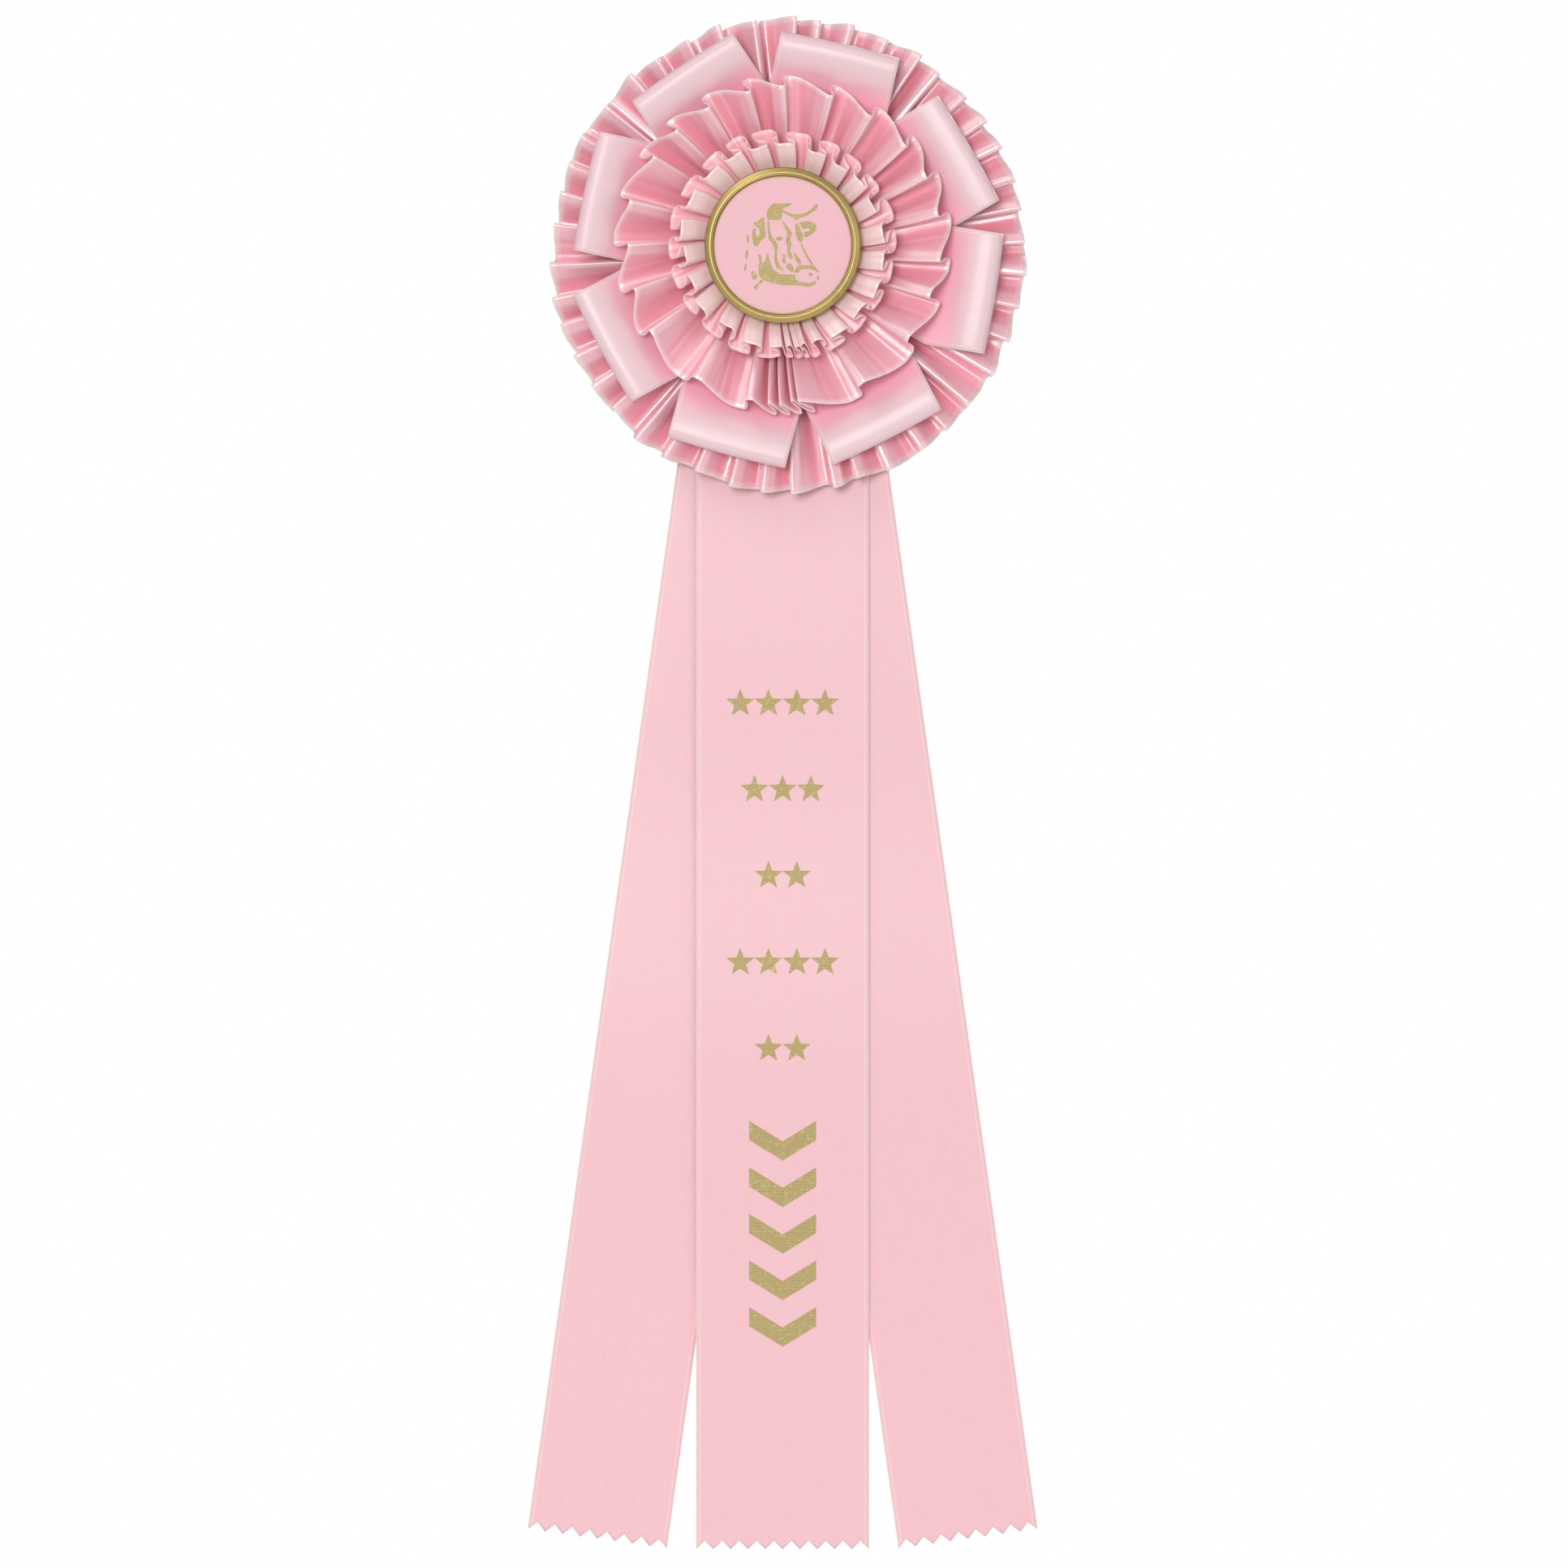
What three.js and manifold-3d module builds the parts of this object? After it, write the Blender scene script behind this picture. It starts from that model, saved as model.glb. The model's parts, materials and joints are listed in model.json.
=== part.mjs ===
// Award ribbon: a pleated satin rosette with a button centre and three hanging streamers.
// Millimetres, +Z up, the front faces -Y. The origin is the middle of the back card's rear face,
// on the axis of the button. "depth" always means millimetres forward of that rear face.
import * as THREE from "three";
import { mergeVertices } from "three/addons/utils/BufferGeometryUtils.js";
import Module from "manifold-3d";

const wasm = await Module();
wasm.setup();

// ---------------------------------------------------------------- driving dimensions
const CLOTH = 0.4; // thickness of a streamer
const FRILL_CLOTH = 0.5; // thickness of a frill's solid
const FACET = 48; // sides of a round piece
const SMALL_FACET = 24; // sides of a round piece of the pin
const WIRE_FACET = 16; // sides of the needle
const OVERLAP = 0.2; // how far a piece that is joined to another one runs into it

// Streamers: satin ribbon that hangs from the card, cut with pinking shears.
const HINGE_DROP = 75; // the cloth starts to swing just under the rosette's lower edge
const HINGE_GAP = 1; // between the fixed tab and the hanging length, with the swing axis in its middle
const TAB_RISE = 22; // how far a tab reaches above the button's axis
const TOOTH_DEPTH = 2.5;
const SIDE_TILT = THREE.MathUtils.degToRad(8);
const SIDE_SHIFT = 1.1; // how far outwards a side streamer lies from the line through the button's axis
const SIDE = { width: 41.3, length: 383.6, teeth: 8 };
const STREAMERS = [
  { side: "left", ...SIDE, depth: 1.8, tilt: SIDE_TILT, shift: -SIDE_SHIFT },
  { side: "right", ...SIDE, depth: 2.5, tilt: -SIDE_TILT, shift: SIDE_SHIFT },
  { side: "centre", width: 50.8, length: 382.7, teeth: 10, depth: 3.2, tilt: 0, shift: 0 },
];

// Cards, from back to front.
const BACK_CARD = { radius: 33, depth: 0, thickness: 1.0, clearRadius: 8 };
const BASE_CARD = { radius: 36, depth: 4.4, thickness: 1.5 };
const FRILL_CARD = { radius: 20.5, depth: 8.6, thickness: 1.0 };
const CENTRE_CARD = { radius: 20, depth: 15.2, thickness: 1.0 };

// The outer frill and the loops were set a little right of and below the button.
const OUTER_SHIFT = { x: 1.7, z: -2.4 };

// A frill is a ring of pleats. Each row is [radius, depth of the middle of the wave, half wave height].
const OUTER_FRILL = {
  pleats: 44,
  steps: 4,
  rows: [
    [30, 7.8, 0.8],
    [69.6, 9.5, 2.4],
  ],
};
const MIDDLE_FRILL = {
  pleats: 22,
  steps: 6,
  rows: [
    [16, 10.7, 0.5],
    [30, 14.8, 1.1],
    [48.2, 21.4, 3.6],
  ],
};
const INNER_FRILL = {
  pleats: 22,
  steps: 6,
  rows: [
    [16.5, 17.6, 0.6],
    [19.5, 20.2, 0.9],
    [31.2, 25.6, 3],
  ],
};

// Ribbon loops between the outer and the middle frill, laid by hand. angle is clockwise from the top seen
// from the front, and reach is from the frill's middle to the fold.
const LOOPS = [
  { angle: 14, reach: 63.2 },
  { angle: 59.5, reach: 61.4 },
  { angle: 101, reach: 61.4 },
  { angle: 151.6, reach: 61.1 },
  { angle: 197.4, reach: 61 },
  { angle: 243.1, reach: 61.3 },
  { angle: 287.4, reach: 62.2 },
  { angle: 330.4, reach: 63.2 },
];
const LOOP = { width: 35.6, wedge: 20.1, inner: 19, cloth: 0.5 };
const LOOP_FOLD = { depth: 14.7, radius: 2.4, sweep: 60, step: 20 };

// Staples: square wire, crown on one side, ends turned in on the other. holes is the depth that their
// legs' holes run from and to.
const STAPLE_WIRE = 0.5;
const STAPLE_HOLE = 1.1;
const STREAMER_STAPLES = [
  { x: -8.5, z: 8 },
  { x: 8.5, z: 8 },
  { x: 0, z: -14 },
];
const STREAMER_STAPLE = { span: 8, crown: 1.15, clinch: 6.65, turn: 2.6, holes: [1, 7] };
const LOOP_STAPLE = { span: 6, crown: 8.25, clinch: 3.7, turn: 1.8, radius: 21.6, holes: [4, 8.4] };

// Button: a brass shell with a rolled rim, a printed disc in it and a prong plate behind it.
const SHELL = [
  [21.2, 23.2],
  [22.0, 23.6],
  [22.6, 25.6],
  [22.9, 27.4],
  [22.8, 28.5],
  [22.3, 29.3],
  [21.6, 29.6],
  [20.9, 29.4],
  [20.4, 28.9],
  [20.25, 28.1],
  [17.5, 28.1],
  [17.5, 27.5],
  [20.0, 27.5],
  [20.6, 26.6],
  [20.2, 23.2],
];
const INSERT = { radius: 19.9, depth: 28.3, thickness: 0.3 };
const PRONG_PLATE = { radius: 19.6, depth: 23.6, thickness: 0.6 };
const PRONG = { radius: 11, width: 3, thickness: 0.5, end: 7.8, turn: 3 };
const PRONG_ANGLES = [45, 135, 225, 315];
const PRONG_SLOT = { width: 3.8, thickness: 1.2, from: 8, to: 17 };

// Bar pin on the back card.
const PIN = {
  z: 16,
  plateLow: 0.1,
  plateThick: 0.7,
  plateWidth: 5,
  left: -16,
  right: 14.6,
  axisY: 3.7,
  hingeX: -13,
  tipX: 18.6,
  wire: 0.45,
  taper: 5,
};
const EAR = { inner: 1.15, thickness: 0.6, half: 1.5 };
const RIVET = { radius: 0.6, hole: 0.75, headRadius: 1.15, head: 0.45, play: 0.15 };
const EYE = { radius: 1.5, half: 0.85, wall: 0.3 };
const CATCH = { left: 11.4, right: 14.0, inner: 2.3, outer: 2.8, slot: 50, footHalf: 1, sink: 0.1 };
const BARREL = { left: 11.2, right: 16.4, inner: 1.1, outer: 2.0, slot: 42 };
const LEVER = { left: 14.9, reach: 3.6, half: 0.4, overlap: 0.3 };

// ---------------------------------------------------------------- materials
const finish = (color, roughness, metalness = 0) =>
  new THREE.MeshStandardMaterial({ color, roughness, metalness });
const MATERIALS = {
  satin: finish(0xf6c6cf, 0.45),
  card: finish(0xf2efe8, 0.85),
  brass: finish(0xb9a65e, 0.35, 0.9),
  steel: finish(0xc9cbcd, 0.3, 0.95),
  print: finish(0xf4c3cd, 0.4),
};

// ---------------------------------------------------------------- helpers
function toSolid(geometry) {
  const plain = geometry.clone();
  plain.deleteAttribute("normal");
  plain.deleteAttribute("uv");
  const merged = mergeVertices(plain, 1e-4);
  const vertProperties = merged.attributes.position.array;
  const triVerts = new Uint32Array(merged.index.array);
  return new wasm.Manifold(new wasm.Mesh({ numProp: 3, vertProperties, triVerts }));
}

function toGeometry(solid) {
  const mesh = solid.getMesh();
  const geometry = new THREE.BufferGeometry();
  geometry.setAttribute("position", new THREE.BufferAttribute(mesh.vertProperties, 3));
  geometry.setIndex(new THREE.BufferAttribute(mesh.triVerts, 1));
  geometry.computeVertexNormals();
  return geometry;
}

const join = (...geometries) =>
  toGeometry(geometries.map(toSolid).reduce((whole, part) => whole.add(part)));

const cut = (geometry, tools) =>
  toGeometry(tools.map(toSolid).reduce((whole, tool) => whole.subtract(tool), toSolid(geometry)));

const block = (x0, x1, y0, y1, z0, z1) =>
  new THREE.BoxGeometry(x1 - x0, y1 - y0, z1 - z0).translate(
    (x0 + x1) / 2,
    (y0 + y1) / 2,
    (z0 + z1) / 2,
  );

// A flat outline in the XZ plane, made solid from depth forward by thickness.
const flat = (shape, depth, thickness) =>
  new THREE.ExtrudeGeometry(shape, { depth: thickness, bevelEnabled: false })
    .rotateX(Math.PI / 2)
    .translate(0, -depth, 0);

// A round piece about the Y axis, from [radius, depth] points listed from its back to its front.
const turned = (profile) =>
  new THREE.LatheGeometry(
    profile.map(([radius, depth]) => new THREE.Vector2(radius, -depth)).reverse(),
    FACET,
  );

// clearRadius splits the rear face, so that its middle is a flat of its own with nothing standing on it.
function disc({ radius, depth, thickness, clearRadius }) {
  const front = depth + thickness;
  const split = clearRadius ? [[clearRadius, depth]] : [];
  return turned([[0, depth], ...split, [radius, depth], [radius, front], [0, front]]);
}

// Turns a geometry about the button's axis, clockwise seen from the front.
const clockwise = (geometry, degrees) => geometry.rotateY(THREE.MathUtils.degToRad(degrees));

const shifted = (geometry) => geometry.translate(OUTER_SHIFT.x, 0, OUTER_SHIFT.z);

// ---------------------------------------------------------------- frills
function frill({ pleats, steps, rows }) {
  const around = pleats * steps;
  const position = [];
  for (const back of [0, FRILL_CLOTH])
    for (const [radius, depth, wave] of rows)
      for (let i = 0; i < around; i++) {
        const angle = (2 * Math.PI * i) / around;
        const height = depth + wave * Math.cos(pleats * angle) - back;
        position.push(radius * Math.sin(angle), -height, radius * Math.cos(angle));
      }
  const at = (side, row, i) => (side * rows.length + row) * around + (i % around);
  const index = [];
  const quad = (a, b, c, d) => index.push(a, c, b, a, d, c);
  const last = rows.length - 1;
  for (let i = 0; i < around; i++) {
    for (let row = 0; row < last; row++) {
      quad(at(0, row, i), at(0, row + 1, i), at(0, row + 1, i + 1), at(0, row, i + 1));
      quad(at(1, row, i), at(1, row, i + 1), at(1, row + 1, i + 1), at(1, row + 1, i));
    }
    quad(at(0, 0, i), at(0, 0, i + 1), at(1, 0, i + 1), at(1, 0, i));
    quad(at(0, last, i), at(1, last, i), at(1, last, i + 1), at(0, last, i + 1));
  }
  const geometry = new THREE.BufferGeometry();
  geometry.setAttribute("position", new THREE.Float32BufferAttribute(position, 3));
  geometry.setIndex(index);
  geometry.computeVertexNormals();
  return geometry;
}

// ---------------------------------------------------------------- loops
// The line of the ribbon in [radius, depth]: out along the back, round the fold, in along the front.
function loopLine(reach) {
  const back = [
    [LOOP.inner, 6.75],
    [23.8, 6.75],
    [29.5, 9.5],
    [45, 11.1],
    [reach - 3, 12.3],
  ];
  const front = [
    [reach - 3.5, 17.2],
    [48, 14.9],
    [41, 13.3],
    [30.5, 12.0],
    [23.4, 7.5],
    [LOOP.inner, 7.5],
  ];
  const { depth, radius, sweep, step } = LOOP_FOLD;
  const fold = [];
  for (let degrees = -sweep; degrees <= sweep; degrees += step) {
    const turn = THREE.MathUtils.degToRad(degrees);
    fold.push([reach - radius * (1 - Math.cos(turn)), depth + radius * Math.sin(turn)]);
  }
  return [...back, ...fold, ...front];
}

function loop(reach) {
  const line = loopLine(reach);
  const sides = [[], []];
  line.forEach(([radius, depth], i) => {
    const before = line[Math.max(i - 1, 0)];
    const after = line[Math.min(i + 1, line.length - 1)];
    const along = new THREE.Vector2(after[0] - before[0], after[1] - before[1]).normalize();
    for (const side of [0, 1]) {
      const half = (side ? -LOOP.cloth : LOOP.cloth) / 2;
      sides[side].push(new THREE.Vector2(radius - along.y * half, depth + along.x * half));
    }
  });
  const outline = [...sides[0], ...sides[1].reverse()];
  if (THREE.ShapeUtils.isClockWise(outline)) outline.reverse();
  const count = outline.length;
  const wedge = Math.tan(THREE.MathUtils.degToRad(LOOP.wedge));
  const position = [];
  for (const side of [-1, 1])
    for (const point of outline) {
      const half = Math.min(LOOP.width / 2, point.x * wedge);
      position.push(side * half, -point.y, point.x);
    }
  const index = [];
  for (let i = 0; i < count; i++) {
    const next = (i + 1) % count;
    index.push(i, next, count + next, i, count + next, count + i);
  }
  for (const [a, b, c] of THREE.ShapeUtils.triangulateShape(outline, []))
    index.push(c, b, a, count + a, count + b, count + c);
  const geometry = new THREE.BufferGeometry();
  geometry.setAttribute("position", new THREE.Float32BufferAttribute(position, 3));
  geometry.setIndex(index);
  return geometry;
}

// ---------------------------------------------------------------- staples
// The crown lies at depth crown, the turned-in ends at depth clinch.
function staple({ span, crown, clinch, turn }) {
  const half = span / 2 + STAPLE_WIRE / 2;
  const reach = half - STAPLE_WIRE;
  const inward = crown < clinch ? STAPLE_WIRE : -STAPLE_WIRE;
  const outline = [
    [-half, crown],
    [half, crown],
    [half, clinch],
    [half - turn, clinch],
    [half - turn, clinch - inward],
    [reach, clinch - inward],
    [reach, crown + inward],
    [-reach, crown + inward],
    [-reach, clinch - inward],
    [turn - half, clinch - inward],
    [turn - half, clinch],
    [-half, clinch],
  ];
  const shape = new THREE.Shape(outline.map(([x, depth]) => new THREE.Vector2(x, -depth)));
  return new THREE.ExtrudeGeometry(shape, { depth: STAPLE_WIRE, bevelEnabled: false }).translate(
    0,
    0,
    -STAPLE_WIRE / 2,
  );
}

// The two holes that a staple's legs make in the layers that it holds together.
const legHoles = ({ span, holes: [from, to] }) =>
  [-span / 2, span / 2].map((x) =>
    block(
      x - STAPLE_HOLE / 2,
      x + STAPLE_HOLE / 2,
      -to,
      -from,
      -STAPLE_HOLE / 2,
      STAPLE_HOLE / 2,
    ),
  );

const streamerHoles = () =>
  STREAMER_STAPLES.flatMap(({ x, z }) =>
    legHoles(STREAMER_STAPLE).map((hole) => hole.translate(x, 0, z)),
  );

const loopHoles = ({ angle }) =>
  legHoles(LOOP_STAPLE).map((hole) =>
    shifted(clockwise(hole.translate(0, 0, LOOP_STAPLE.radius), angle)),
  );

// ---------------------------------------------------------------- streamers
// Where a level line, drop below the button's axis, crosses a ribbon's own line x once it is tilted.
const levelAt = (x, drop, tilt) => (x * Math.sin(tilt) - drop) / Math.cos(tilt);

function tab({ width, depth, tilt, shift }) {
  const [left, right] = [shift - width / 2, shift + width / 2];
  const shape = new THREE.Shape();
  shape.moveTo(right, TAB_RISE);
  shape.lineTo(left, TAB_RISE);
  shape.lineTo(left, levelAt(left, HINGE_DROP, tilt));
  shape.lineTo(right, levelAt(right, HINGE_DROP, tilt));
  return cut(flat(shape, depth, CLOTH).rotateY(tilt), streamerHoles());
}

function streamer({ width, length, teeth, depth, tilt, shift }) {
  const [left, right] = [shift - width / 2, shift + width / 2];
  const top = HINGE_DROP + HINGE_GAP;
  const pitch = width / teeth;
  const shape = new THREE.Shape();
  shape.moveTo(right, levelAt(right, top, tilt));
  shape.lineTo(left, levelAt(left, top, tilt));
  shape.lineTo(left, -length);
  for (let tooth = 0; tooth < teeth; tooth++) {
    shape.lineTo(left + (tooth + 0.5) * pitch, -length + TOOTH_DEPTH);
    shape.lineTo(left + (tooth + 1) * pitch, -length);
  }
  return flat(shape, depth, CLOTH).rotateY(tilt);
}

// ---------------------------------------------------------------- button
// A block at each prong's place, between two depths and two radii.
const prongBlocks = (width, low, high, inner, outer) =>
  PRONG_ANGLES.map((degrees) =>
    clockwise(block(-width / 2, width / 2, -high, -low, inner, outer), degrees),
  );

function prongSlots() {
  const { width, thickness, from, to } = PRONG_SLOT;
  return prongBlocks(width, from, to, PRONG.radius - thickness / 2, PRONG.radius + thickness / 2);
}

function prongPlate() {
  const { radius, width, thickness, end, turn } = PRONG;
  const [inner, outer] = [radius - thickness / 2, radius + thickness / 2];
  const legs = prongBlocks(width, end, PRONG_PLATE.depth + OVERLAP, inner, outer);
  const ends = prongBlocks(width, end, end + thickness, inner, radius + turn);
  return join(disc(PRONG_PLATE), ...legs, ...ends);
}

const shell = () => turned([...SHELL, SHELL[0]]);

// ---------------------------------------------------------------- bar pin
// A round piece about an axis along X through (y, z) = (0, 0), open on the +Y side by twice slot degrees.
function openTube(inner, outer, left, right, slot) {
  const from = THREE.MathUtils.degToRad(90 + slot);
  const to = THREE.MathUtils.degToRad(90 - slot + 360);
  const shape = new THREE.Shape();
  shape.absarc(0, 0, outer, from, to, false);
  shape.absarc(0, 0, inner, to, from, true);
  return new THREE.ExtrudeGeometry(shape, {
    depth: right - left,
    bevelEnabled: false,
    curveSegments: SMALL_FACET,
  })
    .rotateY(Math.PI / 2)
    .translate(left, 0, 0);
}

// A round bar across the hinge, reaching half to either side of its middle.
const hingeBar = (radius, half) =>
  new THREE.CylinderGeometry(radius, radius, 2 * half, SMALL_FACET)
    .rotateX(Math.PI / 2)
    .translate(PIN.hingeX, 0, 0);

const rivetBore = () => hingeBar(RIVET.hole, PIN.plateWidth / 2);

function pinPlate() {
  const top = PIN.plateLow + PIN.plateThick;
  const sunk = top - OVERLAP;
  const plate = block(
    PIN.left,
    PIN.right,
    PIN.plateLow,
    top,
    -PIN.plateWidth / 2,
    PIN.plateWidth / 2,
  );
  const ears = [-1, 1].map((side) => {
    const near = side * EAR.inner;
    const far = side * (EAR.inner + EAR.thickness);
    return block(
      PIN.hingeX - EAR.half,
      PIN.hingeX + EAR.half,
      sunk,
      PIN.axisY + EAR.half,
      Math.min(near, far),
      Math.max(near, far),
    );
  });
  const foot = block(
    CATCH.left,
    CATCH.right,
    sunk,
    PIN.axisY - CATCH.inner - CATCH.sink,
    -CATCH.footHalf,
    CATCH.footHalf,
  );
  const hook = openTube(CATCH.inner, CATCH.outer, CATCH.left, CATCH.right, CATCH.slot);
  const whole = join(plate, ...ears, foot, hook.translate(0, PIN.axisY, 0));
  return cut(whole, [rivetBore().translate(0, PIN.axisY, 0)]);
}

function rivet() {
  const reach = EAR.inner + EAR.thickness + RIVET.play;
  const end = reach + RIVET.head;
  const points = [
    [0, -end],
    [RIVET.headRadius, -end],
    [RIVET.headRadius, -reach],
    [RIVET.radius, -reach],
    [RIVET.radius, reach],
    [RIVET.headRadius, reach],
    [RIVET.headRadius, end],
    [0, end],
  ].map(([radius, y]) => new THREE.Vector2(radius, y));
  return new THREE.LatheGeometry(points, SMALL_FACET)
    .rotateX(Math.PI / 2)
    .translate(PIN.hingeX, PIN.axisY, 0);
}

function needle() {
  const eye = cut(hingeBar(EYE.radius, EYE.half), [rivetBore()]);
  const start = PIN.hingeX + RIVET.hole + EYE.wall;
  const points = [
    [0, start],
    [PIN.wire, start],
    [PIN.wire, PIN.tipX - PIN.taper],
    [0, PIN.tipX],
  ].map(([radius, y]) => new THREE.Vector2(radius, y));
  const shaft = new THREE.LatheGeometry(points, WIRE_FACET).rotateZ(-Math.PI / 2);
  return join(eye, shaft).translate(0, PIN.axisY, 0);
}

function barrel() {
  const { left, right, inner, outer, slot } = BARREL;
  const tube = openTube(inner, outer, left, right, slot);
  const lever = block(LEVER.left, right, -LEVER.half, LEVER.half, inner + LEVER.overlap, LEVER.reach);
  return join(tube, lever).translate(0, PIN.axisY, 0);
}

// ---------------------------------------------------------------- assembly
const award = new THREE.Group();

function add(parent, name, material, geometry) {
  const mesh = new THREE.Mesh(geometry, MATERIALS[material]);
  mesh.name = name;
  parent.add(mesh);
}

const pin = new THREE.Group();
pin.position.z = PIN.z;
award.add(pin);
add(pin, "pin_plate", "steel", pinPlate());
add(pin, "pin_rivet", "steel", rivet());
add(pin, "pin_needle", "steel", needle());
add(pin, "pin_catch_barrel", "steel", barrel());

add(award, "back_card", "card", disc(BACK_CARD));
add(award, "base_card", "card", cut(disc(BASE_CARD), [
  ...streamerHoles(),
  ...LOOPS.flatMap(loopHoles),
]));
add(award, "frill_card", "card", cut(disc(FRILL_CARD), prongSlots()));
add(award, "centre_card", "card", cut(disc(CENTRE_CARD), prongSlots()));

for (const ribbon of STREAMERS) {
  add(award, `${ribbon.side}_streamer_tab`, "satin", tab(ribbon));
  add(award, `${ribbon.side}_streamer`, "satin", streamer(ribbon));
}
STREAMER_STAPLES.forEach(({ x, z }, i) => {
  add(award, `streamer_staple_${i + 1}`, "steel", staple(STREAMER_STAPLE).translate(x, 0, z));
});

add(award, "outer_frill", "satin", shifted(frill(OUTER_FRILL)));
LOOPS.forEach((place, i) => {
  const ribbon = shifted(clockwise(loop(place.reach), place.angle));
  add(award, `loop_${i + 1}`, "satin", cut(ribbon, loopHoles(place)));
  const fixing = staple(LOOP_STAPLE).translate(0, 0, LOOP_STAPLE.radius);
  add(award, `loop_staple_${i + 1}`, "steel", shifted(clockwise(fixing, place.angle)));
});
add(award, "middle_frill", "satin", frill(MIDDLE_FRILL));
add(award, "inner_frill", "satin", frill(INNER_FRILL));

add(award, "button_shell", "brass", shell());
add(award, "button_insert", "print", disc(INSERT));
add(award, "button_prong_plate", "steel", prongPlate());

export default award;
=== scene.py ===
"""Award ribbon: the looks of a pleated satin rosette and its three streamers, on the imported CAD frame.

The frame is in metres, +Z up, and the front faces -Y. Shapes here are worked out in millimetres: x to the
right, z up, and depth forward of the back card's rear face, so y = -depth. Angles on the rosette run
clockwise from the top, as seen from the front.
"""

import json
import math

import bmesh
import bpy
import numpy as np
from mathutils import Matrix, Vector


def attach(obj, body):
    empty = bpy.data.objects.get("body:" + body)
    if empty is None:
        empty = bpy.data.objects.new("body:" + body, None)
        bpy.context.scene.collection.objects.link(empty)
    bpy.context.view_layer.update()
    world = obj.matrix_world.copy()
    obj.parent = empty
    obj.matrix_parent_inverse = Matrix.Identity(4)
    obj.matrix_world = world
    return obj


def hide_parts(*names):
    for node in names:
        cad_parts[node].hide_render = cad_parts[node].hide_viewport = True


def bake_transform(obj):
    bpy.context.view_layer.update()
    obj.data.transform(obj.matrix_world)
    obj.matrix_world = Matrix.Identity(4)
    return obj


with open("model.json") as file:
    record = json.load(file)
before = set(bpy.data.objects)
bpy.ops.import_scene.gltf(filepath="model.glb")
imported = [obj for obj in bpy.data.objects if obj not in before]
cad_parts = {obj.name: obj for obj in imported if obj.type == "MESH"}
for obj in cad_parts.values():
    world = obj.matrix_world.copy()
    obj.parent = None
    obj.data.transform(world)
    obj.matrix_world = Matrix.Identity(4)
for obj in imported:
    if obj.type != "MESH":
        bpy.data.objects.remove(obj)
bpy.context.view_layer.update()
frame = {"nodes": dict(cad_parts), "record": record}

MM = 0.001
CLOTH = 0.18  # thickness of the satin
STEPS_BETWEEN = 24  # points that a smooth line has for each point it goes through
RING_STEPS = 192  # sides of a round piece
RING_EDGE = 40  # degrees that a round piece's surface turns at an edge that shows


# ---------------------------------------------------------------- shapes
def smooth(t):
    t = np.clip(t, 0, 1)
    return t * t * (3 - 2 * t)


def run_length(points):
    """Distance along a line of (x, y, ...) points, from its first point."""
    return np.concatenate([[0], np.cumsum(np.hypot(*np.diff(points[:, :2], axis=0).T))])


def between(before, start, end, after, t):
    """The point at a share t of the way from start to end, on a smooth line through all four."""
    turn = 2 * before - 5 * start + 4 * end - after
    bend = 3 * (start - end) + after - before
    return start + 0.5 * t * (end - before + t * (turn + t * bend))


def spline(points, count):
    """A smooth line through the points, at even spacing along its first two coordinates."""
    points = np.array(points, float)
    padded = np.vstack([2 * points[0] - points[1], points, 2 * points[-1] - points[-2]])
    spans = zip(padded, padded[1:], padded[2:], padded[3:])
    shares = np.arange(STEPS_BETWEEN) / STEPS_BETWEEN
    fine = np.array([between(*span, t) for span in spans for t in shares] + [points[-1]])
    run = run_length(fine)
    places = np.linspace(0, run[-1], count)
    return np.stack([np.interp(places, run, column) for column in fine.T], axis=1)


def arc(centre, radius, start, end, count):
    """Points on a circle, from one angle to another in degrees."""
    turns = np.radians(np.linspace(start, end, count))
    return [(centre[0] + radius * math.cos(a), centre[1] + radius * math.sin(a)) for a in turns]


def polar(centre, angle, radius, depth):
    """Metres in the frame for a clockwise angle, a radius and a depth in millimetres."""
    x = centre[0] + radius * np.sin(angle)
    z = centre[1] + radius * np.cos(angle)
    return np.stack(np.broadcast_arrays(x, -depth, z), axis=-1) * MM


def put_in_scene(name, data):
    """An object made of that mesh, light or camera, in the scene."""
    thing = bpy.data.objects.new(name, data)
    bpy.context.scene.collection.objects.link(thing)
    return thing


def add_mesh(name, vertices, faces, material, crease=180):
    """A mesh piece, shaded smooth but for edges that turn by more than crease degrees."""
    mesh = bpy.data.meshes.new(name)
    mesh.from_pydata(np.asarray(vertices).tolist(), [], faces)
    mesh.polygons.foreach_set("use_smooth", [True] * len(mesh.polygons))
    if crease < 180:
        mesh.set_sharp_from_angle(angle=math.radians(crease))
    mesh.materials.append(material)
    return put_in_scene(name, mesh)


def cloth_piece(name, points, along, across, fold, material, closed=False):
    """Satin from a grid of points[row][column]. along and across are the cloth's own measures in mm,
    with one more column in along when the grid closes on itself. fold paints shade and highlight into the
    colour: 0 on crests, 1 for the painted shade in valleys and -1 for a crease's painted highlight."""
    rows, columns = points.shape[:2]
    spans = columns if closed else columns - 1
    row, column = np.divmod(np.arange((rows - 1) * spans), spans)
    beside = (column + 1) % columns
    corners = [
        row * columns + column,
        row * columns + beside,
        (row + 1) * columns + beside,
        (row + 1) * columns + column,
    ]
    piece = add_mesh(name, points.reshape(-1, 3), np.stack(corners, axis=1).tolist(), material)
    mesh = piece.data
    places = [(row, column), (row, column + 1), (row + 1, column + 1), (row + 1, column)]
    uv = [np.stack([along[r, c], across[r, c % columns]], axis=1) for r, c in places]
    layer = mesh.uv_layers.new(name="cloth")
    layer.data.foreach_set("uv", (np.stack(uv, axis=1) * MM).ravel())
    attribute = mesh.attributes.new("fold", "FLOAT", "POINT")
    attribute.data.foreach_set("value", np.broadcast_to(fold, (rows, columns)).ravel())
    thicken(piece, CLOTH)
    return piece


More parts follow.
